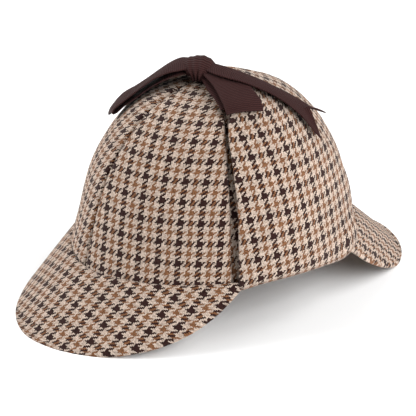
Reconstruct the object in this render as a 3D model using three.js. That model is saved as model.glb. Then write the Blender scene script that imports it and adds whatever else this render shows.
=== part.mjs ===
import * as THREE from 'three';

// A deerstalker hat: six crown gores, a peak in front and one behind, two ear flaps folded
// up against the crown, and a brown ribbon tied in a bow on top.
// Millimetres. Front is -Y, the wearer's left is +X, and the hat stands on z = 0.

// Crown
const HALF_WIDTH = 87.2;
const HALF_LENGTH = 100.2;
const OVAL_POWER = 1.81;
const JUNCTION_Z = 36.6;
const RIM_RISE = 3.1;
const CROWN_HEIGHT = 106;
const CLOTH = 2.5;
const GAP = 0.3;
const GORE_SEAMS = [0, 63, 117, 180, 243, 297, 360];
const GORE_NAMES = ['front_left', 'side_left', 'rear_left', 'rear_right', 'side_right', 'front_right'];
const GORE_COLUMNS = 8;
const TOP_RADIUS = 0.018;

// Where the crown cloth ends below the junction with the peaks, and above it at the sides
const HEM_BELOW = 3;
const HEM_SIDE_RISE = 10;
const HEM_POWER = 8;

// How far the crown draws in with height: fraction of its height, fraction of its base radius
const CROWN_PROFILE = [
  { up: 0, radius: 1 },
  { up: 0.15, radius: 0.955 },
  { up: 0.3, radius: 0.91 },
  { up: 0.45, radius: 0.852 },
  { up: 0.6, radius: 0.765 },
  { up: 0.75, radius: 0.637 },
  { up: 0.87, radius: 0.478 },
  { up: 0.95, radius: 0.262 },
  { up: 1, radius: 0 },
];
const CROWN_ROWS = [0.06, 0.14, 0.22, 0.3, 0.38, 0.46, 0.54, 0.62, 0.7, 0.77, 0.84, 0.9, 0.95, 0.982];

// Peaks: half width at the crown, reach past the crown's corner, how blunt the outline is, and
// the slope below level in degrees
const PEAK_THICKNESS = 3;
const PEAK_GAP = 0.45;
const PEAK_COLUMNS = 30;
const PEAKS = [
  { name: 'front_peak', towards: -1, half: 78.2, reach: 103.6, spread: 1.78, blunt: 2.33, slope: 41.9 },
  { name: 'rear_peak', towards: 1, half: 75, reach: 97.8, spread: 1.9, blunt: 2.53, slope: 40.9 },
];
// Rows from the crown to the outer edge: part of the way, setback from the edge, thickness kept
const PEAK_ROWS = [
  { part: 0, setback: 0, keep: 1 },
  { part: 0.2, setback: 0, keep: 1 },
  { part: 0.4, setback: 0, keep: 1 },
  { part: 0.6, setback: 0, keep: 1 },
  { part: 0.8, setback: 0, keep: 1 },
  { part: 1, setback: 4, keep: 1 },
  { part: 1, setback: 1.6, keep: 1 },
  { part: 1, setback: 0.5, keep: 0.8 },
  { part: 1, setback: 0, keep: 0.3 },
];

// Ear flaps: front and rear edges and thickness at each height above the junction
const FLAP_COLUMNS = 14;
const FLAP_GAP = 0.6;
const FLAP_OUTLINE = [
  { up: 4, front: -38, rear: 55, thick: 3.2 },
  { up: 9, front: -38.6, rear: 58, thick: 3.2 },
  { up: 18, front: -38, rear: 61.5, thick: 3.2 },
  { up: 28, front: -36.8, rear: 63, thick: 3.2 },
  { up: 36, front: -35.7, rear: 61.5, thick: 3.2 },
  { up: 46, front: -34.2, rear: 57, thick: 3.2 },
  { up: 57, front: -32.5, rear: 50, thick: 3.1 },
  { up: 68, front: -30.2, rear: 40.5, thick: 2.9 },
  { up: 78, front: -27.4, rear: 32, thick: 2.6 },
  { up: 86, front: -23, rear: 25, thick: 2.1 },
  { up: 93, front: -16.5, rear: 18, thick: 1.8 },
  { up: 98, front: -9, rear: 12, thick: 1.7 },
  { up: 100.6, front: -2, rear: 5, thick: 1.2 },
];
const FLAP_FOLD = { front: -35.6, rear: 41.6, inner: -2 };
// How low the fold hangs under the crown, from its front end to its rear end
const FLAP_FOLD_LINE = [
  { y: -39, drop: -1.8 },
  { y: -22, drop: 1 },
  { y: -2, drop: 1.6 },
  { y: 18, drop: 0 },
  { y: 40, drop: -4 },
  { y: 56, drop: -2.4 },
];
// The rear corner of a flap stands out over the end of the rear peak
const FLAP_FLARE = { out: 2.9, from: 34, to: 45, low: 3, high: 16 };

// Ribbon
const RIBBON = 1;
const KNOT = { x: 2, y: -13.5, half_length: 7.6, half_width: 11, half_height: 4.8, lift: 5.7 };
// Each strip runs out from the knot on one heading, turned from the front towards the wearer's
// left. A row is a section: the distance out, how much further out its right edge is, how far
// each edge lies to the left or right of the middle line, and how high it stands off the crown.
const BOW = { x: 1, y: -13.5 };
const STRIPS = [
  {
    name: 'bow_loop',
    heading: -45,
    rows: [
      { out: 9, skew: 0, left: 11, right: -11, left_lift: 10.2, right_lift: 9.4 },
      { out: 16, skew: 0, left: 11.5, right: -11.5, left_lift: 10.2, right_lift: 8.2 },
      { out: 24, skew: 0, left: 11.5, right: -11.5, left_lift: 7.6, right_lift: 5.4 },
      { out: 31, skew: 0, left: 11.5, right: -11.5, left_lift: 5.4, right_lift: 3.6 },
      { out: 38, skew: 1, left: 11.5, right: -11.5, left_lift: 4.5, right_lift: 3.4 },
      { out: 43.5, skew: 3.5, left: 11.5, right: -11.5, left_lift: 4.8, right_lift: 6 },
      { out: 48, skew: 7, left: 11.3, right: -11.5, left_lift: 5.3, right_lift: 6.2 },
      { out: 49.6, skew: 7.6, left: 11.2, right: -11.5, left_lift: 4.2, right_lift: 5.2 },
      { out: 48, skew: 7, left: 11.3, right: -11.5, left_lift: 3.2, right_lift: 4.2 },
      { out: 43.5, skew: 3.5, left: 11.5, right: -11.5, left_lift: 3, right_lift: 3.9 },
      { out: 38, skew: 1, left: 11.5, right: -11.5, left_lift: 2.6, right_lift: 1.5 },
      { out: 31, skew: 0, left: 11.5, right: -11.5, left_lift: 3.5, right_lift: 1.6 },
      { out: 24, skew: 0, left: 11.5, right: -11.5, left_lift: 5.4, right_lift: 3.2 },
      { out: 16, skew: 0, left: 11.5, right: -11.5, left_lift: 7.4, right_lift: 5.8 },
      { out: 9, skew: 0, left: 11, right: -11, left_lift: 8, right_lift: 7.2 },
    ],
  },
  {
    name: 'rear_tail',
    heading: 137,
    rows: [
      { out: 10, skew: 0, left: 2, right: -10, left_lift: 6, right_lift: 8 },
      { out: 18, skew: 0, left: 3, right: -10, left_lift: 4.6, right_lift: 8.4 },
      { out: 26, skew: 0, left: 4.5, right: -10.5, left_lift: 3.4, right_lift: 8 },
      { out: 35, skew: 0, left: 5.5, right: -11.3, left_lift: 2.8, right_lift: 6.7 },
      { out: 44, skew: 0, left: 5.5, right: -11.3, left_lift: 2.3, right_lift: 6.2 },
      { out: 53, skew: 0, left: 6.5, right: -11, left_lift: 2.4, right_lift: 6.4 },
      { out: 61, skew: 0, left: 8.5, right: -11, left_lift: 3.4, right_lift: 6.8 },
      { out: 67, skew: 0, left: 10, right: -11, left_lift: 5.2, right_lift: 6.4 },
      { out: 71.5, skew: 0, left: 11.5, right: -10, left_lift: 9.2, right_lift: 6.8 },
    ],
  },
  {
    name: 'near_tail',
    heading: 88,
    rows: [
      { out: 13.5, skew: 0, left: 2, right: -3.5, left_lift: 6.4, right_lift: 7.4 },
      { out: 19, skew: 0, left: 9.5, right: -3.8, left_lift: 5.6, right_lift: 7 },
      { out: 26, skew: 0, left: 15.5, right: -5, left_lift: 5.8, right_lift: 6.6 },
      { out: 32, skew: -1, left: 16, right: -6, left_lift: 5.8, right_lift: 6.3 },
      { out: 40, skew: -3.5, left: 15.6, right: -7, left_lift: 5.8, right_lift: 6 },
      { out: 46, skew: -5.5, left: 13.5, right: -7.8, left_lift: 5.5, right_lift: 5.5 },
    ],
  },
  {
    name: 'left_flap_tie',
    heading: 88,
    rows: [
      { out: 13, skew: 0, left: 4, right: -5.5, left_lift: 4.9, right_lift: 5 },
      { out: 20, skew: 0, left: 6, right: -7.2, left_lift: 4.3, right_lift: 4.3 },
      { out: 28, skew: 0, left: 8, right: -7.8, left_lift: 4.1, right_lift: 4.1 },
      { out: 36, skew: 0, left: 9, right: -8.6, left_lift: 4, right_lift: 4 },
    ],
  },
  {
    name: 'right_flap_tie',
    heading: 250,
    rows: [
      { out: 14, skew: 0, left: 4, right: -9, left_lift: 4.8, right_lift: 4.8 },
      { out: 21, skew: 0, left: 8, right: -11, left_lift: 4.3, right_lift: 4.3 },
      { out: 29, skew: 0, left: 11, right: -12, left_lift: 4.1, right_lift: 4.1 },
      { out: 38, skew: 0, left: 12, right: -12, left_lift: 4.2, right_lift: 4.2 },
    ],
  },
];

const group = new THREE.Group();
group.name = 'deerstalker_hat';

function addPiece(name, geometry, colour) {
  const material = new THREE.MeshStandardMaterial({ color: colour, roughness: 0.9 });
  const piece = new THREE.Mesh(geometry, material);
  piece.name = name;
  group.add(piece);
}

const TWEED = 0xb09a82;
const RIBBON_BROWN = 0x4a3330;

/** A smooth curve through the rows of a table, with no overshoot between them. */
function curve(rows, across, value) {
  const count = rows.length;
  const steps = [];
  for (let i = 0; i < count - 1; i += 1) {
    steps.push((value(rows[i + 1]) - value(rows[i])) / (across(rows[i + 1]) - across(rows[i])));
  }
  const slopes = rows.map((row, i) => {
    if (i === 0) return steps[0];
    if (i === count - 1) return steps[count - 2];
    const product = steps[i - 1] * steps[i];
    return product <= 0 ? 0 : (2 * product) / (steps[i - 1] + steps[i]);
  });
  return (at) => {
    let i = 0;
    while (i < count - 2 && at > across(rows[i + 1])) i += 1;
    const width = across(rows[i + 1]) - across(rows[i]);
    const t = THREE.MathUtils.clamp((at - across(rows[i])) / width, 0, 1);
    const s = 1 - t;
    return value(rows[i]) * s * s * (1 + 2 * t) + value(rows[i + 1]) * t * t * (3 - 2 * t)
      + slopes[i] * width * t * s * s - slopes[i + 1] * width * t * t * s;
  };
}

/** A closed sheet between two grids of points with the same rows and columns. */
function sheet(outer, inner) {
  const rows = outer.length;
  const columns = outer[0].length;
  const points = [...outer.flat(), ...inner.flat()];
  const half = rows * columns;
  const faces = [];
  const quad = (a, b, c, d) => faces.push(a, b, c, a, c, d);
  const at = (row, column) => row * columns + column;
  for (let row = 0; row < rows - 1; row += 1) {
    for (let column = 0; column < columns - 1; column += 1) {
      const corners = [at(row, column), at(row, column + 1), at(row + 1, column + 1), at(row + 1, column)];
      quad(...corners);
      quad(...corners.map((corner) => corner + half).reverse());
    }
  }
  const rim = [];
  for (let column = 0; column < columns - 1; column += 1) rim.push(at(0, column));
  for (let row = 0; row < rows - 1; row += 1) rim.push(at(row, columns - 1));
  for (let column = columns - 1; column > 0; column -= 1) rim.push(at(rows - 1, column));
  for (let row = rows - 1; row > 0; row -= 1) rim.push(at(row, 0));
  rim.forEach((corner, i) => {
    const next = rim[(i + 1) % rim.length];
    quad(next, corner, corner + half, next + half);
  });
  let volume = 0;
  for (let i = 0; i < faces.length; i += 3) {
    const [a, b, c] = [points[faces[i]], points[faces[i + 1]], points[faces[i + 2]]];
    volume += a.dot(new THREE.Vector3().crossVectors(b, c));
  }
  if (volume < 0) faces.reverse();
  const geometry = new THREE.BufferGeometry().setFromPoints(points);
  geometry.setIndex(faces);
  return geometry;
}

// ---- The crown's surface ----

const areaAt = curve(CROWN_PROFILE, (row) => row.up, (row) => row.radius ** 2);
const radiusAt = (up) => Math.sqrt(Math.max(areaAt(Math.max(up, 0)), 0));
const signedPower = (value, power) => Math.sign(value) * Math.abs(value) ** power;

/** The crown's outer surface: the angle runs from the front towards the wearer's left. */
function crownPoint(angle, up, lift = 0) {
  const place = (a, u) => {
    const x = HALF_WIDTH * signedPower(Math.sin(a), 2 / OVAL_POWER);
    const y = -HALF_LENGTH * signedPower(Math.cos(a), 2 / OVAL_POWER);
    const rim = JUNCTION_Z + RIM_RISE * (x / HALF_WIDTH) ** 2;
    const top = JUNCTION_Z + CROWN_HEIGHT;
    return new THREE.Vector3(x * radiusAt(u), y * radiusAt(u), rim + u * (top - rim));
  };
  const point = place(angle, up);
  if (lift === 0) return point;
  const nudge = 0.002;
  const level = Math.max(up, nudge);
  const round = place(angle + nudge, level).sub(place(angle - nudge, level));
  const rise = place(angle, Math.min(level + nudge, 1)).sub(place(angle, level - nudge));
  return point.addScaledVector(round.cross(rise).normalize(), lift);
}

/** The same surface found from a place in plan. */
function crownOver(x, y, lift) {
  const side = (Math.abs(x) / HALF_WIDTH) ** OVAL_POWER;
  const end = (Math.abs(y) / HALF_LENGTH) ** OVAL_POWER;
  const radius = (side + end) ** (1 / OVAL_POWER);
  const angle = Math.atan2(Math.sign(x) * Math.sqrt(side), -Math.sign(y) * Math.sqrt(end));
  let low = 0;
  let high = 1;
  for (let i = 0; i < 40; i += 1) {
    const middle = (low + high) / 2;
    if (radiusAt(middle) > radius) low = middle;
    else high = middle;
  }
  return crownPoint(angle, low, lift);
}

/** The same surface found from its height above the junction and its y. */
function crownBeside(y, height, lift) {
  const up = height / CROWN_HEIGHT;
  const part = Math.min(Math.abs(y) / (HALF_LENGTH * radiusAt(up)), 1);
  return crownPoint(Math.acos(-signedPower(y, 0) * part ** (OVAL_POWER / 2)), up, lift);
}

/** How far above the junction the crown's lower edge is. */
const hemHeight = (angle) => HEM_SIDE_RISE * Math.abs(Math.sin(angle)) ** HEM_POWER - HEM_BELOW;

// ---- Crown gores ----

GORE_NAMES.forEach((name, index) => {
  const from = THREE.MathUtils.degToRad(GORE_SEAMS[index]);
  const to = THREE.MathUtils.degToRad(GORE_SEAMS[index + 1]);
  const topRow = 1 - (TOP_RADIUS ** 2) * (1 - CROWN_PROFILE.at(-2).up) / CROWN_PROFILE.at(-2).radius ** 2;
  const grid = (lift) => ['hem', ...CROWN_ROWS, topRow].map((row) => {
    const line = [];
    for (let column = 0; column <= GORE_COLUMNS; column += 1) {
      const share = column / GORE_COLUMNS;
      const angle = from + (to - from) * share;
      const up = row === 'hem' ? hemHeight(angle) / CROWN_HEIGHT : row;
      const point = crownPoint(angle, up, lift);
      const ahead = crownPoint(angle + 0.01, up).sub(crownPoint(angle - 0.01, up)).normalize();
      line.push(point.addScaledVector(ahead, (GAP / 2) * (1 - 2 * share)));
    }
    return line;
  });
  addPiece(`crown_${name}`, sheet(grid(0), grid(-CLOTH)), TWEED);
});

// ---- Peaks ----

const ovalEdge = (x) => HALF_LENGTH * (1 - (Math.abs(x) / HALF_WIDTH) ** OVAL_POWER) ** (1 / OVAL_POWER);

PEAKS.forEach(({ name, towards, half, reach, spread, blunt, slope }) => {
  const tilt = THREE.MathUtils.degToRad(slope);
  const down = new THREE.Vector3(0, towards * Math.cos(tilt), -Math.sin(tilt));
  const up = new THREE.Vector3(0, towards * Math.sin(tilt), Math.cos(tilt));
  const plumb = new THREE.Vector3(0, 0, 1 / Math.cos(tilt));
  const grid = (face) => PEAK_ROWS.map(({ part, setback, keep }) => {
    const line = [];
    for (let column = 0; column <= PEAK_COLUMNS; column += 1) {
      const share = Math.sin((column / PEAK_COLUMNS - 0.5) * Math.PI * 0.995);
      const x = half * share;
      const inner = ovalEdge(x) + PEAK_GAP;
      const outer = ovalEdge(half) + reach * (1 - Math.abs(share) ** spread) ** (1 / blunt);
      const length = Math.max(outer - inner, 1.5) / Math.cos(tilt);
      const edge = Math.min(setback, length * 0.1 * setback);
      const along = part < 1 ? part * (length - Math.min(6, length * 0.5)) : length - edge;
      const way = along / length;
      const point = new THREE.Vector3(x, towards * inner, JUNCTION_Z + RIM_RISE * (x / HALF_WIDTH) ** 2);
      point.addScaledVector(down, along);
      const offset = up.clone().multiplyScalar(way).addScaledVector(plumb, 1 - way);
      const middle = PEAK_THICKNESS * (way - 1) / 2;
      point.addScaledVector(offset, middle + face * keep * PEAK_THICKNESS / 2);
      point.z = Math.max(point.z, 0);
      line.push(point);
    }
    return line;
  });
  addPiece(name, sheet(grid(1), grid(-1)), TWEED);
});

// ---- Ear flaps ----

const foldDrop = curve(FLAP_FOLD_LINE, (row) => row.y, (row) => row.drop);

/** One flap on the wearer's left: the inner or the outer face, from the fold up to the tip. */
function flapFace(isOuter) {
  const rows = [];
  const shares = [];
  for (let column = 0; column <= FLAP_COLUMNS; column += 1) shares.push(column / FLAP_COLUMNS);
  const soft = (share) => 0.6 + 0.4 * Math.min(1, Math.sin(share * Math.PI) * 3);
  const yAt = (row, share) => row.front + (row.rear - row.front) * share;
  const flare = (y, height) => FLAP_FLARE.out
    * THREE.MathUtils.smoothstep(y, FLAP_FLARE.from, FLAP_FLARE.to)
    * (1 - THREE.MathUtils.smoothstep(height, FLAP_FLARE.low, FLAP_FLARE.high));
  const under = (y, out, drop) => {
    const angle = Math.acos(-signedPower(y, 0) * (Math.abs(y) / HALF_LENGTH) ** (OVAL_POWER / 2));
    const point = crownPoint(angle, 0, out);
    point.z = JUNCTION_Z + (drop === null ? hemHeight(angle) - GAP : drop);
    return point;
  };
  const lowest = (share) => {
    const y = yAt(FLAP_FOLD, share);
    return { y, drop: foldDrop(y) };
  };
  rows.push(shares.map((share) => {
    const { y, drop } = lowest(share);
    return isOuter ? under(y, FLAP_FOLD.inner, drop) : under(y, FLAP_FOLD.inner, null);
  }));
  rows.push(shares.map((share) => {
    const { y, drop } = lowest(share);
    return isOuter ? under(y, 1.2 + flare(y, 0), drop) : under(y, FLAP_GAP, null);
  }));
  rows.push(shares.map((share) => {
    const y = yAt(FLAP_OUTLINE[0], share);
    const out = FLAP_GAP + flare(y, 0) + (isOuter ? FLAP_OUTLINE[0].thick * soft(share) : 0);
    const { drop } = lowest(share);
    return isOuter ? under(y, out, drop + 2.2) : under(y, out, Math.max(drop + 3.4, 2.8));
  }));
  FLAP_OUTLINE.forEach((row, index) => {
    if (index === 0) return;
    rows.push(shares.map((share) => {
      const y = yAt(row, share);
      const out = FLAP_GAP + flare(y, row.up) + (isOuter ? row.thick * soft(share) : 0);
      return crownBeside(y, row.up, out);
    }));
  });
  return rows;
}

const leftFlap = [flapFace(true), flapFace(false)];
const acrossHat = (face) => face.map((row) => row.map((point) => new THREE.Vector3(-point.x, point.y, point.z)));
addPiece('left_ear_flap', sheet(...leftFlap), TWEED);
addPiece('right_ear_flap', sheet(...leftFlap.map(acrossHat)), TWEED);

// ---- Ribbon ----

STRIPS.forEach(({ name, heading, rows }) => {
  const angle = THREE.MathUtils.degToRad(heading);
  const ahead = new THREE.Vector2(Math.sin(angle), -Math.cos(angle));
  const leftward = new THREE.Vector2(-ahead.y, ahead.x);
  const middle = rows.map((row) => [0, 0.5, 1].map((share) => {
    const off = THREE.MathUtils.lerp(row.left, row.right, share);
    const lift = THREE.MathUtils.lerp(row.left_lift, row.right_lift, share);
    const plan = new THREE.Vector2(BOW.x, BOW.y);
    plan.addScaledVector(ahead, row.out + row.skew * share).addScaledVector(leftward, off);
    return crownOver(plan.x, plan.y, lift);
  }));
  const face = (side) => middle.map((line, i) => line.map((point, j) => {
    const before = middle[Math.max(i - 1, 0)][j];
    const after = middle[Math.min(i + 1, middle.length - 1)][j];
    const width = line[2].clone().sub(line[0]);
    const normal = after.clone().sub(before).cross(width).normalize();
    return point.clone().addScaledVector(normal, side * RIBBON / 2);
  }));
  addPiece(name, sheet(face(1), face(-1)), RIBBON_BROWN);
});

// The knot is a rounded lump with its long side across the bow.
const knot = new THREE.IcosahedronGeometry(1, 7);
const spots = knot.attributes.position;
const along = new THREE.Vector2(-1, -1).normalize();
for (let i = 0; i < spots.count; i += 1) {
  const round = (value) => signedPower(value, 0.8);
  const [a, b, c] = [spots.getX(i), spots.getY(i), spots.getZ(i)].map(round);
  const plan = along.clone().multiplyScalar(a * KNOT.half_length);
  plan.x += b * KNOT.half_width * -along.y;
  plan.y += b * KNOT.half_width * along.x;
  const point = crownOver(KNOT.x + plan.x, KNOT.y + plan.y, KNOT.lift + c * KNOT.half_height);
  spots.setXYZ(i, point.x, point.y, point.z);
}
addPiece('knot', knot, RIBBON_BROWN);

export default group;
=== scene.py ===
import math
import bpy
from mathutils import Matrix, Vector, noise


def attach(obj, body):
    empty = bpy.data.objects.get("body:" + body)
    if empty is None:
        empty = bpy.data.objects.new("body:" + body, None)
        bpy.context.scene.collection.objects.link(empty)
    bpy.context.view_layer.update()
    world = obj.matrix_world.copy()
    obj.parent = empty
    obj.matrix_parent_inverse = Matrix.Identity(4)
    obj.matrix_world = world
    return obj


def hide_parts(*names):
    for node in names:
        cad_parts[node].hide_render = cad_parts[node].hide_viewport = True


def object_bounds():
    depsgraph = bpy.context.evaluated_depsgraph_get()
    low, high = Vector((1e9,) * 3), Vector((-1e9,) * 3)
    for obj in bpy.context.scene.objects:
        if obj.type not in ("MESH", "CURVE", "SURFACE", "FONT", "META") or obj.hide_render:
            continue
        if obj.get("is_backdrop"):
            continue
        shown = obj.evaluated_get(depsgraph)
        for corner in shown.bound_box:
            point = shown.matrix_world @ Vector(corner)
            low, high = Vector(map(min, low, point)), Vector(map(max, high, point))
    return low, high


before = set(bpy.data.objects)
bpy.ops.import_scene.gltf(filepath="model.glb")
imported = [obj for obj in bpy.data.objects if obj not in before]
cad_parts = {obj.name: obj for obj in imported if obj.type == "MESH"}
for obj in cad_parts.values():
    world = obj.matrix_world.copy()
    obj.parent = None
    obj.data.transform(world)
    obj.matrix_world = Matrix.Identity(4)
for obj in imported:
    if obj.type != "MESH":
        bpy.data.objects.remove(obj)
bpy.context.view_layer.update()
bpy.ops.object.select_all(action='DESELECT')

# ---- Table, light and camera ----
# The hat rests on a white table under large soft lamps. A long lens looks at its front left,
# from a little above.
CAMERA_PLACE = (0.5994, -0.4354, 0.3765)
CAMERA_TURN = math.radians(54.40)
CAMERA_DIP = math.radians(23.92)
CAMERA_LENS = 107.26
CAMERA_FILM = 36
ROOM_LIGHT = 0.2
camera_angles = (math.pi / 2 - CAMERA_DIP, 0, CAMERA_TURN)
bpy.ops.object.camera_add(location=CAMERA_PLACE, rotation=camera_angles)
camera = bpy.context.object
camera.data.lens = CAMERA_LENS
camera.data.sensor_width = CAMERA_FILM
bpy.context.scene.camera = camera
bpy.context.scene.view_settings.view_transform = 'Standard'

HAT_MIDDLE = Vector((0, 0, 0.07))
# name, place, width across, watts
LAMPS = (
    ('front', (-1.0, -1.1, 0.9), 1.2, 34),
    ('side', (1.35, 0.35, 0.75), 1.2, 28),
    ('rear', (0.6, 1.05, 1.2), 1.0, 15),
    ('right', (-1.1, 0.1, 1.2), 1.0, 8),
)
for lamp_name, place, width, watts in LAMPS:
    aim = (HAT_MIDDLE - Vector(place)).to_track_quat('-Z', 'Y').to_euler()
    bpy.ops.object.light_add(type='AREA', location=place, rotation=aim)
    lamp = bpy.context.object
    lamp.name = f'{lamp_name}_lamp'
    lamp.data.size = width
    lamp.data.energy = watts

room = bpy.data.worlds.new('white_room')
bpy.context.scene.world = room
room.use_nodes = True
room.node_tree.nodes['Background'].inputs['Color'].default_value = (1, 1, 1, 1)
room.node_tree.nodes['Background'].inputs['Strength'].default_value = ROOM_LIGHT


class Strand:
    """A value in a material. Sums on it become the nodes that work them out."""

    def __init__(self, tree, socket):
        self.tree = tree
        self.socket = socket

    def node(self, kind, inputs, output=0, stops=(), **settings):
        made = self.tree.nodes.new(kind)
        for setting, value in settings.items():
            setattr(made, setting, value)
        if stops:
            ramp = made.color_ramp
            ramp.interpolation = 'CONSTANT'
            while len(ramp.elements) < len(stops):
                ramp.elements.new(0.5)
            for element, (at, colour) in zip(ramp.elements, stops):
                element.position = at
                element.color = (*colour, 1)
        for key, value in inputs.items():
            if isinstance(value, Strand):
                self.tree.links.new(value.socket, made.inputs[key])
            else:
                made.inputs[key].default_value = value
        return Strand(self.tree, made.outputs[output])

    def maths(self, operation, *values):
        return self.node('ShaderNodeMath', dict(enumerate(values)), operation=operation)

    def __add__(self, other):
        return self.maths('ADD', self, other)

    def __sub__(self, other):
        return self.maths('SUBTRACT', self, other)

    def __rsub__(self, other):
        return self.maths('SUBTRACT', other, self)

    def __mul__(self, other):
        return self.maths('MULTIPLY', self, other)

    def __truediv__(self, other):
        return self.maths('DIVIDE', self, other)

    def __mod__(self, other):
        return self.maths('FLOORED_MODULO', self, other)

    def __lt__(self, other):
        return self.maths('LESS_THAN', self, other)

    __radd__ = __add__
    __rmul__ = __mul__

    def floor(self):
        return self.maths('FLOOR', self)

    def sine(self):
        return self.maths('SINE', self)

    def mottle(self, scale, detail=2):
        """Noise about a middle of nought, with this many spots to a unit."""
        spots = self.node('ShaderNodeTexNoise', {'Vector': self, 'Scale': scale, 'Detail': detail})
        return spots - 0.5

    def blend(self, low, high):
        """This share of the way from one colour to another."""
        inputs = {0: self, 6: low, 7: high}
        return self.node('ShaderNodeMix', inputs, output=2, data_type='RGBA')

    def parts(self):
        split = self.node('ShaderNodeSeparateXYZ', {0: self})
        return split, Strand(self.tree, split.socket.node.outputs[1])


def new_finish(name, roughness, sheen=0.0, sheen_roughness=0.5):
    """A material with its shader, the cloth's own flat coordinates in millimetres, and the place
    in space in metres."""
    material = bpy.data.materials.new(name)
    material.use_nodes = True
    tree = material.node_tree
    shader = tree.nodes['Principled BSDF']
    shader.inputs['Roughness'].default_value = roughness
    shader.inputs['Sheen Weight'].default_value = sheen
    shader.inputs['Sheen Roughness'].default_value = sheen_roughness
    chart = tree.nodes.new('ShaderNodeTexCoord')
    return material, shader, Strand(tree, chart.outputs['UV']), Strand(tree, chart.outputs['Object'])


TABLE_WIDTH = 8
TABLE_ROUGHNESS = 0.6
TABLE_GLOSS = 0.15
TABLE_SHADES = (0.95, 0.95, 0.95, 1), (0.98, 0.98, 0.98, 1)
bpy.ops.mesh.primitive_plane_add(size=TABLE_WIDTH)
table = bpy.context.object
table.name = 'table'
paint, shader, flat, solid = new_finish('white_paint', TABLE_ROUGHNESS)
shader.inputs['Specular IOR Level'].default_value = TABLE_GLOSS
tone = solid.mottle(3) * 0.02 + 0.5
paint_colour = tone.blend(*TABLE_SHADES)
flat.tree.links.new(paint_colour.socket, shader.inputs['Base Color'])
table.data.materials.append(paint)
table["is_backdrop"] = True

# ---- Crown ----
# The crown is six gores of wool tweed, sewn edge to edge and drawn in to a point under the bow.
# The cloth is a gun club check, with four dark, four cream, four tan and four cream threads both
# ways, woven in a two by two twill. Lengths are in millimetres from here on.
HALF_WIDTH = 87.2
HALF_LENGTH = 100.2
OVAL_POWER = 1.81
JUNCTION_Z = 36.6
RIM_RISE = 3.1
CROWN_HEIGHT = 106
CLOTH = 2.4
GAP = 0.02
MILLIMETRE = 0.001
HEM_BELOW = 3.5
HEM_SIDE_RISE = 10.5
HEM_POWER = 40
THREAD = 0.77
CHECK_THREADS = 16
TWILL_THREADS = 4
WARP_SHOWS = 2.24
DARK_MIDDLE = 2
FULLER_DARKS = 0.4
TWEED_ROUGHNESS = 0.9
TWEED_SHEEN = 0.1
TWEED_GLOSS = 0.05
TWEED_RELIEF = 0.00022
DARK_YARN = (0.026, 0.0102, 0.0085)
CREAM_YARN = (0.460, 0.366, 0.300)
TAN_YARN = (0.178, 0.079, 0.037)
# fraction of the crown's height, fraction of its width at the rim
CROWN_PROFILE = (
    (0, 1), (0.15, 0.955), (0.3, 0.91), (0.45, 0.852), (0.6, 0.765),
    (0.75, 0.637), (0.87, 0.478), (0.95, 0.262), (1, 0),
)
GORES = (
    ('crown_front_left', 0, 62.3, (0.100, 0.157, 0.0100), (-0.6, -2.4, 0.045)),
    ('crown_side_left', 61, 117, (0.094, 0.139, 0.0082), (0, 0, 0)),
    ('crown_rear_left', 117, 180, (0.101, 0.157, 0.0101), (0, 0, 0)),
    ('crown_rear_right', 180, 243, (0.101, 0.157, 0.0101), (0, 0, 0)),
    ('crown_side_right', 243, 299, (0.094, 0.139, 0.0082), (0, 0, 0)),
    ('crown_front_right', 297.7, 360, (0.100, 0.157, 0.0100), (0, 0, 0)),
)
GORE_COLUMNS = 48
GORE_ROWS = 48


def smooth(rows):
    """A curve through rows of place and value that never swings past them."""
    steps = [
        (after[1] - before[1]) / (after[0] - before[0]) for before, after in zip(rows, rows[1:])
    ]
    slopes = [steps[0]]
    for before, after in zip(steps, steps[1:]):
        slopes.append(2 * before * after / (before + after) if before * after > 0 else 0)
    slopes.append(steps[-1])

    def value(at):
        i = 0
        while i < len(steps) - 1 and at > rows[i + 1][0]:
            i += 1
        width = rows[i + 1][0] - rows[i][0]
        t = min(max((at - rows[i][0]) / width, 0), 1)
        s = 1 - t
        return (rows[i][1] * s * s * (1 + 2 * t) + rows[i + 1][1] * t * t * (1 + 2 * s)
                + (slopes[i] * s - slopes[i + 1] * t) * width * t * s)

    return value


def signed_power(value, power):
    return math.copysign(abs(value) ** power, value)


crown_area = smooth([(up, radius ** 2) for up, radius in CROWN_PROFILE])


def on_crown(angle, up):
    radius = math.sqrt(max(crown_area(max(up, 0)), 0))
    x = HALF_WIDTH * signed_power(math.sin(angle), 2 / OVAL_POWER)
    y = -HALF_LENGTH * signed_power(math.cos(angle), 2 / OVAL_POWER)
    rim = JUNCTION_Z + RIM_RISE * (x / HALF_WIDTH) ** 2
    return Vector((x * radius, y * radius, rim + up * (JUNCTION_Z + CROWN_HEIGHT - rim)))


def off_crown(angle, up, lift):
    """A point this far out from the crown's cloth."""
    nudge = 0.004
    level = min(max(up, nudge), 1 - nudge / 4)
    around = on_crown(angle + nudge, level) - on_crown(angle - nudge, level)
    rise = on_crown(angle, min(level + nudge, 1)) - on_crown(angle, level - nudge)
    return on_crown(angle, up) + around.cross(rise).normalized() * lift


def hem_height(angle):
    """How far the crown's lower edge is above its junction with the peaks."""
    return HEM_SIDE_RISE * abs(math.sin(angle)) ** HEM_POWER - HEM_BELOW


def ripple(point, size, depth):
    """A shallow unevenness of hand-shaped cloth."""
    return noise.noise(point / size) * depth


def ease(value, low, high):
    t = min(max((value - low) / (high - low), 0), 1)
    return t * t * (3 - 2 * t)


def lengths_along(points):
    total = [0.0]
    for before, after in zip(points, points[1:]):
        total.append(total[-1] + (after - before).length)
    return total


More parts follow.
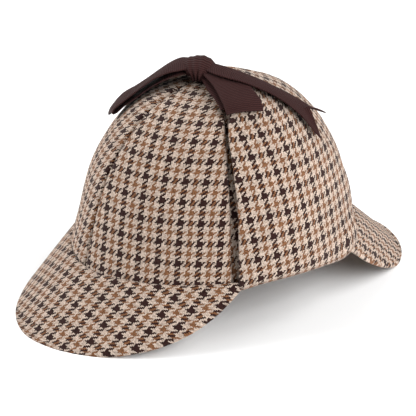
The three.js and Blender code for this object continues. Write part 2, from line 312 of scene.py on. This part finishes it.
def lay_cloth(name, points, chart, thick, offset=-1, crisp=0.0):
    """Lays a flat grid on rows of points, writes the cloth's own coordinates on it from the
    chart, and gives it thickness and rounded edges."""
    rows, columns = len(points) - 1, len(points[0]) - 1
    bpy.ops.mesh.primitive_grid_add(x_subdivisions=columns, y_subdivisions=rows, size=2)
    piece = bpy.context.object
    piece.name = piece.data.name = f'{name}_cloth'
    mesh = piece.data
    spots = [
        (round((v.co.y + 1) / 2 * rows), round((v.co.x + 1) / 2 * columns)) for v in mesh.vertices
    ]
    for corner, spot in zip(mesh.loops, mesh.uv_layers[0].data):
        row, column = spots[corner.vertex_index]
        spot.uv = chart[row][column]
    for vertex, (row, column) in zip(mesh.vertices, spots):
        vertex.co = points[row][column] * MILLIMETRE
    wall = piece.modifiers.new('thickness', 'SOLIDIFY')
    wall.thickness = thick * MILLIMETRE
    wall.offset = offset
    wall.edge_crease_outer = wall.edge_crease_inner = wall.edge_crease_rim = crisp
    rounding = piece.modifiers.new('rounded_edges', 'SUBSURF')
    rounding.levels = rounding.render_levels = 1
    for modifier in [m.name for m in piece.modifiers]:
        bpy.ops.object.modifier_apply(modifier=modifier)
    bpy.ops.object.shade_smooth()
    piece.select_set(False)
    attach(piece, 'root')
    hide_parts(name)
    return piece


tweed, shader, flat, solid = new_finish('gun_club_tweed', TWEED_ROUGHNESS, sheen=TWEED_SHEEN)
shader.inputs['Specular IOR Level'].default_value = TWEED_GLOSS
along, across = flat.parts()
wander = flat.mottle(0.12) * 0.9 + flat.mottle(0.9, 1) * 0.35
warp_place = along / THREAD + wander
weft_place = across / THREAD + (flat.mottle(0.15) * 0.9 - flat.mottle(1.1, 1) * 0.35)
check_turn = 2 * math.pi / CHECK_THREADS
warp_place = warp_place - ((warp_place - DARK_MIDDLE) * check_turn).sine() * FULLER_DARKS
weft_place = weft_place - ((weft_place - DARK_MIDDLE) * check_turn).sine() * FULLER_DARKS
warp, weft = warp_place.floor(), weft_place.floor()
warp_on_top = (warp - weft_place + WARP_SHOWS / 2) % TWILL_THREADS < WARP_SHOWS
warp_count, weft_count = warp % CHECK_THREADS, weft % CHECK_THREADS
thread_on_top = warp_on_top * warp_count + (1 - warp_on_top) * weft_count
band = thread_on_top / CHECK_THREADS + 0.02
stops = ((0, DARK_YARN), (0.25, CREAM_YARN), (0.5, TAN_YARN), (0.75, CREAM_YARN))
dyed = band.node('ShaderNodeValToRGB', {0: band}, stops=stops)
inside_warp = warp_place - warp
inside_weft = weft_place - weft
beside = warp_on_top * inside_warp + (1 - warp_on_top) * inside_weft
roundness = 1 - (beside * 2 - 1) * (beside * 2 - 1)
fibre = flat.mottle(1.4, 3)
crossing = flat.node('ShaderNodeCombineXYZ', {0: warp, 1: weft})
speck = flat.node('ShaderNodeTexWhiteNoise', {0: crossing})
# Each yarn is painted darker towards its edges by its roundness: painted shade where the threads
# meet. The fibre noise, mottle and specks add random tone.
tone_and_thread_shade = 0.46 + roundness * 0.26 + fibre * 1.25 + flat.mottle(0.35) * 0.12 + speck * 0.54
lit = tone_and_thread_shade.node('ShaderNodeVectorMath', {0: dyed, 3: tone_and_thread_shade}, operation='SCALE')
flat.tree.links.new(lit.socket, shader.inputs['Base Color'])
relief = roundness * 0.7 + fibre * 0.9
raised = {'Height': relief, 'Distance': TWEED_RELIEF, 'Strength': 0.9}
bump = relief.node('ShaderNodeBump', raised)
flat.tree.links.new(bump.socket, shader.inputs['Normal'])

# The cloth rolls down to each seam and turns in sharply at it. A side gore's front edge lies
# lower still, under the edge of the flap.
SEAM_DIP, SEAM_ROLL = 0.7, 2.2
SEAM_TURN, SEAM_TURN_ROLL = 1.9, 0.7
SIDE_GORE_SPREAD = 60
SIDE_SINK, SIDE_SINK_FROM, SIDE_SINK_TO, SIDE_SINK_WIDTH = 4, 7, 13, 60
# size and depth
CROWN_DENTS = (34, 0.7), (13, 0.22)
CROWN_SETTLE = 0.15
CROWN_POINT = 0.9999
ROW_CROWDING = 1.6
COLUMN_CROWDING = 0.14
LEAN_HEIGHT = 50
for name, start, end, (cut_width, cut_length, cut_area), (shift_u, shift_v, lean) in GORES:
    points, chart = [], []
    centre = []
    for row in range(GORE_ROWS + 1):
        rise = 1 - (1 - row / GORE_ROWS) ** ROW_CROWDING
        line = []
        for column in range(GORE_COLUMNS + 1):
            even = column / GORE_COLUMNS
            share = even - COLUMN_CROWDING * math.sin(2 * math.pi * even)
            angle = math.radians(start + (end - start) * share)
            low = hem_height(angle) / CROWN_HEIGHT
            line.append((angle, low + (CROWN_POINT - low) * rise))
        base = [on_crown(*spot) for spot in line]
        run = lengths_along(base)
        centre.append(base[GORE_COLUMNS // 2])
        shaped = []
        for column, (spot, point) in enumerate(zip(line, base)):
            edge = min(run[column], run[-1] - run[column])
            dip = SEAM_DIP * math.exp(-(edge / SEAM_ROLL) ** 2)
            dip += SEAM_TURN * math.exp(-edge / SEAM_TURN_ROLL)
            if end - start < SIDE_GORE_SPREAD:
                tuck = run[column] if start < 180 else run[-1] - run[column]
                sunk = 1 - ease(tuck, SIDE_SINK_FROM, SIDE_SINK_TO)
                dip += SIDE_SINK * sunk * min(run[-1] / SIDE_SINK_WIDTH, 1)
            dents = sum(ripple(point, size, depth) for size, depth in CROWN_DENTS)
            lift = dents - dip - CROWN_SETTLE
            ahead = base[min(column + 1, GORE_COLUMNS)] - base[max(column - 1, 0)]
            inset = GAP / 2 * (1 - 2 * column / GORE_COLUMNS)
            shaped.append(off_crown(*spot, lift) + ahead.normalized() * inset)
        points.append(shaped)
        chart.append([distance - run[-1] / 2 for distance in run])
    height = lengths_along(centre)
    for row, line in enumerate(chart):
        slant = lean * (height[row] - LEAN_HEIGHT)
        chart[row] = [(u + shift_u + slant, height[row] + shift_v + lean * u) for u in line]
    gore = lay_cloth(name, points, chart, CLOTH, crisp=1.0)
    gore.data.materials.append(tweed)

# ---- Peaks ----
# A peak in front and one behind, each a stiffened crescent of the same tweed, doubled and
# turned at the edge, and sewn into the crown's lower edge.
PEAK_THICKNESS = 2.9
PEAK_GAP = 0.45
PEAK_TUCK, PEAK_TUCK_ROLL = 1.6, 1.3
PEAK_END_SHARE = 0.995
PEAK_END_DEPTH = 1.5
# how high the pressed edge of a peak stands, as a share of its thickness
PEAK_RESTING = 0.42
# size and depth
PEAK_DENT = (28, 0.35)
PEAK_COLUMNS = 96
PEAK_ROWS = 34
PEAK_INNER_CROWDING, PEAK_OUTER_CROWDING = 1.3, 1.25
# drop and bulge of the turned edge, from the top down
PEAK_EDGE = ((0.9, 0.6), (2.0, 0.8), (3.1, 0.5))
PEAKS = (
    ('front_peak', -1, 79.6, 106.6, 1.78, 2.18, 41.9, (0.186, 0.111, 0.0104), (-2.9, 1.3, -0.028)),
    ('rear_peak', 1, 75, 97.8, 1.9, 2.53, 40.9, (0.170, 0.102, 0.0097), (0, 0, 0)),
)


def oval_edge(x):
    return HALF_LENGTH * (1 - (abs(x) / HALF_WIDTH) ** OVAL_POWER) ** (1 / OVAL_POWER)


for name, towards, half, reach, spread, blunt, slope, flat_cut, (shift_u, shift_v, turn) in PEAKS:
    slope = math.radians(slope)
    down = Vector((0, towards * math.cos(slope), -math.sin(slope)))
    top = Vector((0, towards * math.sin(slope), math.cos(slope)))
    points, chart = [], []
    for row in range(PEAK_ROWS + 1):
        share_out = 1 - (1 - (row / PEAK_ROWS) ** PEAK_INNER_CROWDING) ** PEAK_OUTER_CROWDING
        line = []
        for column in range(PEAK_COLUMNS + 1):
            share = math.sin((column / PEAK_COLUMNS - 0.5) * math.pi * PEAK_END_SHARE)
            x = half * share
            inner = oval_edge(x) + PEAK_GAP
            outer = oval_edge(half) + reach * (1 - abs(share) ** spread) ** (1 / blunt)
            length = max(outer - inner, PEAK_END_DEPTH) / math.cos(slope)
            point = Vector((x, towards * inner, JUNCTION_Z + RIM_RISE * (x / HALF_WIDTH) ** 2))
            tuck = PEAK_TUCK * math.exp(-length * share_out / PEAK_TUCK_ROLL)
            line.append(point + down * (length * share_out) - top * tuck)
        points.append(line)
    run = [0.0]
    for before, after in zip(points[0], points[0][1:]):
        step = after - before
        run.append(run[-1] + (step - down * step.dot(down)).length)
    chart = [
        [(run[c] - run[-1] / 2, -point.dot(down)) for c, point in enumerate(line)]
        for line in points
    ]
    for line in points:
        for point in line:
            point.z = max(point.z, PEAK_THICKNESS * PEAK_RESTING)
    rim, rim_chart = points[-1], chart[-1]
    for drop, bulge in PEAK_EDGE:
        line = []
        for c, point in enumerate(rim):
            step = rim[min(c + 1, PEAK_COLUMNS)] - rim[max(c - 1, 0)]
            outward = Vector((-step.y, step.x, 0)).normalized() * towards
            lower = point + outward * bulge
            lower.z = max(lower.z - drop, PEAK_THICKNESS * PEAK_RESTING - drop / 2)
            line.append(lower)
        points.append(line)
        chart.append([(u, v - drop) for u, v in rim_chart])
    chart = [[(u + shift_u, v + shift_v + turn * u) for u, v in line] for line in chart]
    if towards < 0:
        points = points[::-1]
        chart = chart[::-1]
    points = [[point + top * ripple(point, *PEAK_DENT) for point in line] for line in points]
    peak = lay_cloth(name, points, chart, PEAK_THICKNESS)
    for vertex in peak.data.vertices:
        vertex.co.z = max(vertex.co.z, 0)
    peak.data.materials.append(tweed)

# ---- Ear flaps ----
# An ear flap of doubled tweed hangs from each side of the crown's lower edge. It is folded up
# against the crown and held there by its ribbon, and its fold is soft and thick.
FLAP_COLUMNS = 44
FLAP_ROWS = 52
FLAP_GAP = 0.6
FLAP_CLOTH = 2.9
FLAP_EDGE_SHARE = 0.84
FLAP_DENT = (26, 0.5)
FLAP_ROW_CROWDING = 1.15
FLAP_COLUMN_CROWDING = 0.11
# height above the junction, front edge, rear edge, thickness
FLAP_OUTLINE = (
    (4, -39.4, 55, 3.2), (9, -38.9, 58, 3.2), (18, -37.4, 61.5, 3.2), (28, -36.2, 63, 3.2),
    (36, -35.1, 61.5, 3.2), (46, -33.7, 57, 3.2), (57, -32.2, 50, 3.1), (68, -30, 40.5, 2.9),
    (78, -27.2, 32, 2.6), (86, -23, 25, 2.1), (93, -16.5, 18, 1.8), (98, -9, 12, 1.7),
    (100.6, -2, 5, 1.2),
)
FOLD_FRONT, FOLD_REAR, FOLD_INNER = -40.2, 41.6, -2
FOLD_OUTER, FOLD_RISE = 1.6, 0.3
FOLD_FACE_RISE = 2.2
FLAP_FACE_START = 5
# distance behind the hat's middle, height from the junction
FOLD_LINE = ((-40, -4.4), (-22, -0.9), (-2, -0.3), (18, -1.9), (40, -5.9), (56, -4.3))
FLARE = 2.9
FLARE_FROM, FLARE_TO, FLARE_LOW, FLARE_HIGH = 34, 45, 3, 16
flap_front = smooth([(row[0], row[1]) for row in FLAP_OUTLINE])
flap_rear = smooth([(row[0], row[2]) for row in FLAP_OUTLINE])
flap_thick = smooth([(row[0], row[3]) for row in FLAP_OUTLINE])
fold_drop = smooth(FOLD_LINE)


def flap_flare(y, height):
    return FLARE * ease(y, FLARE_FROM, FLARE_TO) * (1 - ease(height, FLARE_LOW, FLARE_HIGH))


def beside_crown(y, height, lift):
    up = height / CROWN_HEIGHT
    part = min(abs(y) / (HALF_LENGTH * math.sqrt(crown_area(up))), 1)
    return off_crown(math.acos(-math.copysign(part ** (OVAL_POWER / 2), y)), up, lift)


def under_crown(y, out, height):
    angle = math.acos(-math.copysign((abs(y) / HALF_LENGTH) ** (OVAL_POWER / 2), y))
    point = off_crown(angle, 0, out)
    point.z = JUNCTION_Z + height
    return point


def flap_row(row, share):
    """A point on the outer face of the left flap, from under the crown to the tip."""
    fullness = min(1, math.sin(share * math.pi) * 4)
    edge_softness = FLAP_EDGE_SHARE + (1 - FLAP_EDGE_SHARE) * fullness
    fold_y = FOLD_FRONT + (FOLD_REAR - FOLD_FRONT) * share
    if row == 0:
        return under_crown(fold_y, FOLD_INNER, fold_drop(fold_y))
    if row == 1:
        return under_crown(fold_y, 0, fold_drop(fold_y))
    if row == 2:
        out = FOLD_OUTER + flap_flare(fold_y, 0)
        return under_crown(fold_y, out, fold_drop(fold_y) + FOLD_RISE)
    low, _, _, thick = FLAP_OUTLINE[0]
    y = flap_front(low) + (flap_rear(low) - flap_front(low)) * share
    if row == 3:
        out = FLAP_GAP + flap_flare(y, 0) + thick * edge_softness
        return under_crown(y, out, fold_drop(y) + FOLD_FACE_RISE)
    high = FLAP_OUTLINE[-1][0]
    climb = 1 - (1 - (row - 4) / (FLAP_ROWS - 4)) ** FLAP_ROW_CROWDING
    height = FLAP_FACE_START + (high - FLAP_FACE_START) * climb
    y = flap_front(height) + (flap_rear(height) - flap_front(height)) * share
    out = FLAP_GAP + flap_flare(y, height) + flap_thick(height) * edge_softness
    return beside_crown(y, height, out)


points, chart = [], []
for row in range(FLAP_ROWS + 1):
    line = []
    for column in range(FLAP_COLUMNS + 1):
        even = column / FLAP_COLUMNS
        line.append(flap_row(row, even - FLAP_COLUMN_CROWDING * math.sin(2 * math.pi * even)))
    run = lengths_along(line)
    middle = next(i for i, point in enumerate(line) if point.y > 0)
    part = -line[middle - 1].y / (line[middle].y - line[middle - 1].y)
    zero = run[middle - 1] + (run[middle] - run[middle - 1]) * part
    points.append(line)
    chart.append([distance - zero for distance in run])
height = lengths_along([line[FLAP_COLUMNS // 2] for line in points])
# The flap's cloth is cut a little off the grain.
GRAIN_TURN = math.radians(2.5)
GRAIN_SHIFT = 5.6
GRAIN_RISE = -1.3
grain_cos, grain_sin = math.cos(GRAIN_TURN), math.sin(GRAIN_TURN)
chart = [
    [(u * grain_cos + height[row] * grain_sin + GRAIN_SHIFT,
      height[row] * grain_cos - u * grain_sin + GRAIN_RISE) for u in line]
    for row, line in enumerate(chart)
]
points = [
    [point + Vector((point.x, point.y, 0)).normalized() * ripple(point, *FLAP_DENT)
     for point in line]
    for line in points
]
for name, side in (('left_ear_flap', 1), ('right_ear_flap', -1)):
    placed = [
        [Vector((point.x * side, point.y, point.z)) for point in line[::side]] for line in points
    ]
    flap = lay_cloth(name, placed, [line[::side] for line in chart], FLAP_CLOTH)
    flap.data.materials.append(tweed)

# ---- Ribbon ----
# A brown grosgrain ribbon is sewn to each flap's tip. The two are tied in a bow over the crown,
# with one loop in front and both ends lying back. Fine ribs run across the ribbon.
RIBBON = 0.9
RIBBON_WIDTH = 25
RIB_PITCH = 1.3
RIBBON_SHADED_HOLLOW = (0.0190, 0.0066, 0.0062)
RIBBON_LIT_CREST = (0.050, 0.0190, 0.0178)
RIBBON_YARN = 0.35
RIBBON_ROUGHNESS = 0.65
RIBBON_SHEEN, RIBBON_SHEEN_SPREAD = 0.02, 0.4
RIBBON_GLOSS = 0.06
RIBBON_RELIEF = 0.0003
BOW_X, BOW_Y = 1, -13.5
RIBBON_COLUMNS = 24
ROW_STEPS = 8
grosgrain, shader, flat, solid = new_finish(
    'brown_grosgrain', RIBBON_ROUGHNESS, sheen=RIBBON_SHEEN, sheen_roughness=RIBBON_SHEEN_SPREAD)
shader.inputs['Specular IOR Level'].default_value = RIBBON_GLOSS
across, along = flat.parts()
# Each rib is painted lighter on its crest and darker in the hollow beside it: painted highlight and
# painted shade. The yarn lines and mottle add tone.
ribs = ((along / RIB_PITCH + flat.mottle(0.2) * 0.3) * (2 * math.pi)).sine() * 0.5 + 0.5
yarns = ((across / RIBBON_YARN) * (2 * math.pi)).sine() * 0.5 + 0.5
tone = ribs * 0.8 + yarns * 0.1 + solid.mottle(90, 3) * 0.3 - 0.05
ribbon_colour = tone.blend((*RIBBON_SHADED_HOLLOW, 1), (*RIBBON_LIT_CREST, 1))
flat.tree.links.new(ribbon_colour.socket, shader.inputs['Base Color'])
relief = ribs * 1.0 + yarns * 0.15
raised = {'Height': relief, 'Distance': RIBBON_RELIEF, 'Strength': 0.8}
bump = relief.node('ShaderNodeBump', raised)
flat.tree.links.new(bump.socket, shader.inputs['Normal'])

# Each strip runs out from the knot on one heading, turned from the front towards the wearer's
# left. A row is a section: the distance out, how much further out its right edge is, how far
# each edge lies to the left or right of the middle line, and how high each stands off the crown.
STRIPS = (
    ('bow_loop', -45, 'plain', (
        (3, 0, 7, -5, 9.6, 9.6), (9, 0, 10, -9, 11, 10.4), (16, 0, 11.5, -11.5, 11, 9.4),
        (24, 0, 11.5, -11.5, 9, 7.2),
        (31, 0, 11.5, -11.5, 6.8, 5.2), (38, 1, 11.5, -11.5, 5.6, 4.8),
        (43.5, 3.5, 11.5, -11.5, 5.5, 6.8), (48, 7, 11.3, -11.5, 5.6, 6.6),
        (49.6, 7.6, 11.2, -11.5, 4.2, 5.2), (48, 7, 11.3, -11.5, 3.2, 4.2),
        (43.5, 3.5, 11.5, -11.5, 3, 3.9), (38, 1, 11.5, -11.5, 2.6, 1.5),
        (31, 0, 11.5, -11.5, 3.5, 1.6), (24, 0, 11.5, -11.5, 5.4, 3.2),
        (16, 0, 11.5, -11.5, 7.4, 5.8), (9, 0, 10, -9, 8, 7.2), (3, 0, 7, -5, 6.4, 6),
    )),
    ('rear_tail', 137, 'forked', (
        (4, 0, 4, -6, 7, 8.2), (10, 0, 2.5, -10, 6.4, 8.6), (18, 0, 3, -11.8, 4.6, 8.2),
        (26, 0, 4.5, -12.2, 3.4, 7.8),
        (35, 0, 5.5, -12, 2.8, 6.7), (44, 0, 5.5, -11.3, 2.3, 6.2), (53, 0, 6.5, -11, 2.4, 6.4),
        (61, 0, 8.5, -11, 3.4, 6.8), (67, 0, 10, -11, 5.2, 6.4), (71.5, 0, 11.5, -10, 9.2, 6.8),
    )),
    ('near_tail', 88, 'pinked', (
        (7, 0, 1.5, -3, 6.4, 7), (13.5, 0, 3, -3.5, 6.4, 7.4), (19, 0, 9.5, -3.8, 5.6, 7),
        (26, 0, 15.5, -5, 5.8, 6.6),
        (32, -1, 16, -6, 5.8, 6.3), (40, -3.5, 15.6, -7, 5.8, 6), (46, -5.5, 13.5, -7.8, 5.5, 5.5),
    )),
    ('left_flap_tie', 88, 'plain', (
        (8, 0, 3, -4, 5, 5.4), (13, 0, 4, -5.5, 4.9, 5), (20, 0, 6, -7.2, 4.3, 4.3),
        (28, 0, 8, -7.8, 4.1, 4.1), (36, 0, 9, -8.6, 4, 4),
    )),
    ('right_flap_tie', 250, 'plain', (
        (8, 0, 3, -5, 5, 5), (14, 0, 4, -9, 4.8, 4.8), (21, 0, 8, -11, 4.3, 4.3),
        (29, 0, 11, -12, 4.1, 4.1), (38, 0, 12, -12, 4.2, 4.2),
    )),
)
FORK_DEPTH = 9
FORK_START = 0.6
PINKING = 0.9


def over_crown(x, y, lift):
    """The crown's cloth found from a place in plan, and raised."""
    side = (abs(x) / HALF_WIDTH) ** OVAL_POWER
    end = (abs(y) / HALF_LENGTH) ** OVAL_POWER
    radius = (side + end) ** (1 / OVAL_POWER)
    angle = math.atan2(math.copysign(math.sqrt(side), x), -math.copysign(math.sqrt(end), y))
    low, high = 0, 1
    for _ in range(40):
        middle = (low + high) / 2
        if crown_area(middle) > radius ** 2:
            low = middle
        else:
            high = middle
    return off_crown(angle, low, lift)


def through(points, steps):
    """A smooth line through points, as many steps as asked for, at even distances."""
    at = lengths_along(points)
    slopes = []
    for i in range(len(points)):
        before, after = max(i - 1, 0), min(i + 1, len(points) - 1)
        slopes.append((points[after] - points[before]) / (at[after] - at[before]))
    line = []
    for step in range(steps + 1):
        distance = at[-1] * step / steps
        i = 0
        while i < len(at) - 2 and distance > at[i + 1]:
            i += 1
        width = at[i + 1] - at[i]
        t = (distance - at[i]) / width
        s = 1 - t
        line.append(points[i] * (s * s * (1 + 2 * t)) + points[i + 1] * (t * t * (1 + 2 * s))
                    + (slopes[i] * s - slopes[i + 1] * t) * (width * t * s))
    return line


for name, heading, cut, rows in STRIPS:
    heading = math.radians(heading)
    ahead = Vector((math.sin(heading), -math.cos(heading)))
    leftward = Vector((-ahead.y, ahead.x))
    strands = []
    for column in range(RIBBON_COLUMNS + 1):
        share = column / RIBBON_COLUMNS
        spots = []
        for index, (out, skew, left, right, left_lift, right_lift) in enumerate(rows):
            trim = 0
            if index >= len(rows) - 2 and cut == 'forked':
                reached = 1 if index == len(rows) - 1 else FORK_START
                trim = FORK_DEPTH * (1 - abs(2 * share - 1)) * reached
            if index == len(rows) - 1 and cut == 'pinked':
                trim = PINKING * (column % 2)
            plan = Vector((BOW_X, BOW_Y)) + ahead * (out + skew * share - trim)
            plan += leftward * (left + (right - left) * share)
            spots.append(over_crown(plan.x, plan.y, left_lift + (right_lift - left_lift) * share))
        strands.append(through(spots, len(rows) * ROW_STEPS))
    points = [list(line) for line in zip(*strands)]
    middle = lengths_along([line[RIBBON_COLUMNS // 2] for line in points])
    chart = []
    for row, line in enumerate(points):
        run = lengths_along(line)
        chart.append([(distance - run[-1] / 2, middle[row]) for distance in run])
    strip = lay_cloth(name, points, chart, RIBBON, offset=0)
    strip.data.materials.append(grosgrain)
    broad = sum(left - right for _, _, left, right, _, _ in rows) / len(rows)
    cut_size = (RIBBON_WIDTH * MILLIMETRE, middle[-1] * MILLIMETRE)
    shown = min(broad / RIBBON_WIDTH, 1) * cut_size[0] * cut_size[1]

# ---- Knot ----
# The knot is the ribbon drawn over the middle of the bow and pulled tight, so that it gathers
# into soft pleats.
KNOT_X, KNOT_Y = 2, -13.5
KNOT_LIFT = 6.4
KNOT_HALF_WIDTH, KNOT_HALF_HEIGHT = 11, 5.4
KNOT_FAR_LENGTH, KNOT_TOP_LENGTH, KNOT_NEAR_LENGTH = 9, 9.4, 4.6
KNOT_UNDERSIDE = 1.18
KNOT_FALL = 4.6
PLEATS = 2.6
PLEAT_DEPTH = 0.15
PLEAT_START, PLEAT_SLANT = 1.2, 0.7
KNOT_SHARPNESS = 0.85
KNOT_WRAP = 8
bpy.ops.mesh.primitive_uv_sphere_add(segments=144, ring_count=72, radius=1)
knot = bpy.context.object
knot.name = knot.data.name = 'knot_cloth'
mesh = knot.data
wrap = [math.atan2(v.co.y, v.co.x) for v in mesh.vertices]
width = [v.co.z for v in mesh.vertices]
for face in mesh.polygons:
    turns = [wrap[v] for v in face.vertices]
    for corner in face.loop_indices:
        vertex = mesh.loops[corner].vertex_index
        turn = wrap[vertex] + (2 * math.pi if max(turns) - wrap[vertex] > math.pi else 0)
        mesh.uv_layers[0].data[corner].uv = (width[vertex] * KNOT_TOP_LENGTH, turn * KNOT_WRAP)
for vertex, turn, wide in zip(mesh.vertices, wrap, width):
    near, up = math.cos(turn), math.sin(turn)
    ring = (1 - abs(wide) ** 4) ** 0.25
    side_length = KNOT_NEAR_LENGTH if near > 0 else KNOT_FAR_LENGTH
    half_length = side_length + (KNOT_TOP_LENGTH - side_length) * max(up, 0) ** 1.3
    pleat = math.cos(2 * math.pi * PLEATS * wide + PLEAT_START + PLEAT_SLANT * near)
    ring *= 1 - PLEAT_DEPTH * (0.5 + 0.5 * pleat) * (0.6 + 0.4 * near)
    a = wide * half_length
    b = signed_power(near, KNOT_SHARPNESS) * ring * KNOT_HALF_WIDTH
    c = signed_power(up, KNOT_SHARPNESS) * ring * KNOT_HALF_HEIGHT
    c *= 1 if up > 0 else KNOT_UNDERSIDE
    plan_x = KNOT_X - (a - b) / math.sqrt(2)
    plan_y = KNOT_Y - (a + b) / math.sqrt(2)
    fall = KNOT_FALL * max(-wide, 0) ** 1.5
    vertex.co = over_crown(plan_x, plan_y, KNOT_LIFT + c - fall) * MILLIMETRE
bpy.ops.object.shade_smooth()
bpy.ops.object.mode_set(mode='EDIT')
bpy.ops.mesh.select_all(action='SELECT')
bpy.ops.mesh.normals_make_consistent(inside=False)
bpy.ops.object.mode_set(mode='OBJECT')
knot.data.materials.append(grosgrain)
knot.select_set(False)
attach(knot, 'root')
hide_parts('knot')

low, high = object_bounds()
